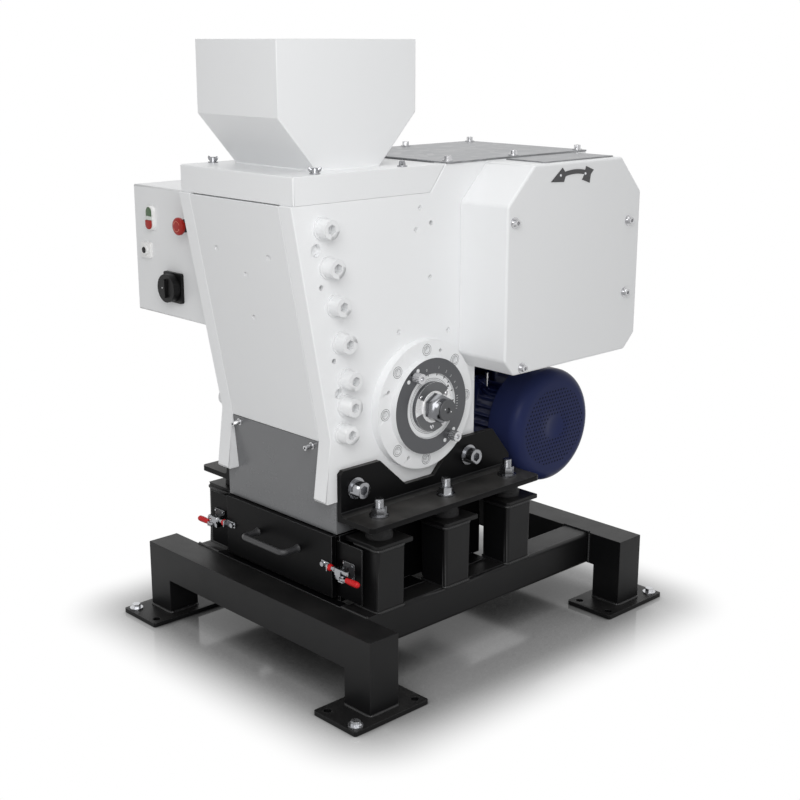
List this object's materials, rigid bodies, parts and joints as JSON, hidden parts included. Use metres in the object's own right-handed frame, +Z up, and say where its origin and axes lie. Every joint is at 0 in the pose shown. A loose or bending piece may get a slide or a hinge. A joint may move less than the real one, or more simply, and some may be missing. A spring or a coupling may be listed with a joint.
{
  "type": "laboratory jaw crusher",
  "caption": "Floor-standing laboratory jaw crusher on a black tube frame, with a feed hopper, flywheel cover, gap dial, control box and collecting drawer.",
  "frame": {"origin": "on the floor at the centre of the base frame, which is the centre of the rectangle of bare anchor holes in its four foot plates", "axes": "+Z up, -Y towards the drawer and the front plate, +X towards the side with the gap dial and the flywheel cover"},
  "size_m": [0.929, 1.038, 1.363],
  "materials": {
    "black_frame": "satin",
    "zinc_steel": "zinc plated",
    "mount_rubber": "matt",
    "stainless": "bright",
    "white_paint": "satin",
    "white_cover": "satin",
    "jaw_steel": "ground",
    "grey_paint": "satin",
    "galvanised": "galvanised",
    "dial_grey": "satin",
    "navy_paint": "satin",
    "belt_rubber": "matt",
    "black_sheet": "satin",
    "black_handle": "satin",
    "white_plastic": "gloss",
    "black_plastic": "matt",
    "green_plastic": "gloss",
    "red_plastic": "gloss",
    "spindle_steel": "machined",
    "cast_iron": "cast"
  },
  "bodies": {
    "base": {"front_trestle": "black_frame", "rear_trestle": "black_frame", "side_rail_left": "black_frame", "side_rail_right": "black_frame", "anchor_bolts": "zinc_steel", "rubber_mounts": "mount_rubber", "bracket_left": "black_frame", "bracket_right": "black_frame", "bracket_fasteners": "stainless", "cheek_left": "white_paint", "cheek_right": "white_paint", "cheek_screws": "white_paint", "front_plate": "white_paint", "fixed_jaw_plate": "jaw_steel", "side_liners": "jaw_steel", "chute": "grey_paint", "cover_screws": "stainless", "top_plates": "galvanised", "rear_housing": "white_paint", "bearing_flanges": "white_paint", "dial_ring": "dial_grey", "flywheel_cover": "white_cover", "belt_guard": "white_cover", "motor_console": "black_frame", "motor_body": "navy_paint", "motor_cowl": "navy_paint", "drive_belts": "belt_rubber", "control_box": "white_cover", "contactor_plate": "galvanised", "drawer_cabinet": "black_sheet", "clamp_bases": "stainless"},
    "feed_unit": {"hopper": "white_cover", "hood": "white_cover"},
    "wing_front_left": {"wing_screw_front_left": "stainless"},
    "wing_front_right": {"wing_screw_front_right": "stainless"},
    "wing_rear_left": {"wing_screw_rear_left": "stainless"},
    "wing_rear_right": {"wing_screw_rear_right": "stainless"},
    "drawer_unit": {"drawer": "black_sheet", "drawer_handle": "black_handle", "drawer_catches": "stainless"},
    "lever_left": {"clamp_lever_left": "stainless"},
    "lever_right": {"clamp_lever_right": "stainless"},
    "plunger_left": {"clamp_plunger_left": "stainless"},
    "plunger_right": {"clamp_plunger_right": "stainless"},
    "door": {"box_door": "white_cover", "button_bezels": "white_plastic", "door_fittings": "black_plastic"},
    "start": {"start_button": "green_plastic"},
    "stop": {"stop_button": "red_plastic"},
    "reset": {"reset_button": "black_plastic"},
    "estop": {"estop_head": "red_plastic"},
    "main_switch": {"switch_knob": "black_plastic"},
    "spindle": {"gap_spindle": "spindle_steel"},
    "clamp_screw_upper": {"dial_clamp_upper": "stainless"},
    "clamp_screw_lower": {"dial_clamp_lower": "stainless"},
    "jaw": {"swing_jaw": "cast_iron", "moving_jaw_plate": "jaw_steel"},
    "drive": {"drive_shaft": "spindle_steel", "flywheels": "cast_iron"},
    "rotor": {"motor_rotor": "spindle_steel"}
  },
  "joints": [
    {"name": "hood_lift", "type": "slide", "parent": "base", "child": "feed_unit", "axis": [0, 0, 1], "range_m": [0, 0.12]},
    {"name": "wing_turn_front_left", "type": "hinge", "parent": "feed_unit", "child": "wing_front_left", "pos_m": [-0.172, -0.39, 1.11], "axis": [0, 0, 1], "continuous": true},
    {"name": "wing_turn_front_right", "type": "hinge", "parent": "feed_unit", "child": "wing_front_right", "pos_m": [0.172, -0.39, 1.11], "axis": [0, 0, 1], "continuous": true},
    {"name": "wing_turn_rear_left", "type": "hinge", "parent": "feed_unit", "child": "wing_rear_left", "pos_m": [-0.172, -0.148, 1.11], "axis": [0, 0, 1], "continuous": true},
    {"name": "wing_turn_rear_right", "type": "hinge", "parent": "feed_unit", "child": "wing_rear_right", "pos_m": [0.172, -0.148, 1.11], "axis": [0, 0, 1], "continuous": true},
    {"name": "drawer_slide", "type": "slide", "parent": "base", "child": "drawer_unit", "axis": [0, -1, 0], "range_m": [0, 0.38]},
    {"name": "clamp_turn_right", "type": "hinge", "parent": "base", "child": "lever_right", "pos_m": [0.236, -0.383, 0.248], "axis": [0, 0, 1], "range_deg": [-100, 0]},
    {"name": "clamp_turn_left", "type": "hinge", "parent": "base", "child": "lever_left", "pos_m": [-0.236, -0.383, 0.248], "axis": [0, 0, 1], "range_deg": [0, 100]},
    {"name": "plunger_slide_right", "type": "slide", "parent": "base", "child": "plunger_right", "axis": [1, 0, 0], "range_m": [0, 0.0081]},
    {"name": "plunger_slide_left", "type": "slide", "parent": "base", "child": "plunger_left", "axis": [-1, 0, 0], "range_m": [0, 0.0081]},
    {"name": "door_turn", "type": "hinge", "parent": "base", "child": "door", "pos_m": [-0.498, -0.38, 0.881], "axis": [0, 0, 1], "range_deg": [-110, 0]},
    {"name": "start_press", "type": "slide", "parent": "door", "child": "start", "axis": [0, 1, 0], "range_m": [0, 0.003], "stiffness_N_per_m": 400, "springref_m": -0.001},
    {"name": "stop_press", "type": "slide", "parent": "door", "child": "stop", "axis": [0, 1, 0], "range_m": [0, 0.003], "stiffness_N_per_m": 400, "springref_m": -0.001},
    {"name": "reset_press", "type": "slide", "parent": "door", "child": "reset", "axis": [0, 1, 0], "range_m": [0, 0.003], "stiffness_N_per_m": 400, "springref_m": -0.001},
    {"name": "estop_press", "type": "slide", "parent": "door", "child": "estop", "axis": [0, 1, 0], "range_m": [0, 0.005]},
    {"name": "switch_turn", "type": "hinge", "parent": "door", "child": "main_switch", "pos_m": [-0.337, -0.4, 0.805], "axis": [0, -1, 0], "range_deg": [0, 90]},
    {"name": "gap_turn", "type": "hinge", "parent": "base", "child": "spindle", "pos_m": [0, -0.112, 0.579], "axis": [1, 0, 0], "range_deg": [0, 100]},
    {"name": "jaw_turn", "type": "hinge", "parent": "spindle", "child": "jaw", "pos_m": [0, -0.10434, 0.58543], "axis": [1, 0, 0], "range_deg": [-100, 0]},
    {"name": "scale_clamp_upper", "type": "hinge", "parent": "base", "child": "clamp_screw_upper", "pos_m": [0, -0.16821, 0.65496], "axis": [1, 0, 0], "range_deg": [-180, 180]},
    {"name": "scale_clamp_lower", "type": "hinge", "parent": "base", "child": "clamp_screw_lower", "pos_m": [0, -0.05579, 0.50304], "axis": [1, 0, 0], "range_deg": [-180, 180]},
    {"name": "flywheel_spin", "type": "hinge", "parent": "base", "child": "drive", "pos_m": [0, 0.246, 0.87], "axis": [1, 0, 0], "continuous": true},
    {"name": "rotor_spin", "type": "hinge", "parent": "base", "child": "rotor", "pos_m": [0, 0.328, 0.442], "axis": [1, 0, 0], "continuous": true}
  ],
  "couplings": [
    {"joint": "plunger_slide_right", "follows": "clamp_turn_right", "m_per_rad": -0.0045837},
    {"joint": "plunger_slide_left", "follows": "clamp_turn_left", "m_per_rad": 0.0045837},
    {"joint": "jaw_turn", "follows": "gap_turn", "ratio": -1},
    {"joint": "rotor_spin", "follows": "flywheel_spin", "ratio": 2.855}
  ]
}
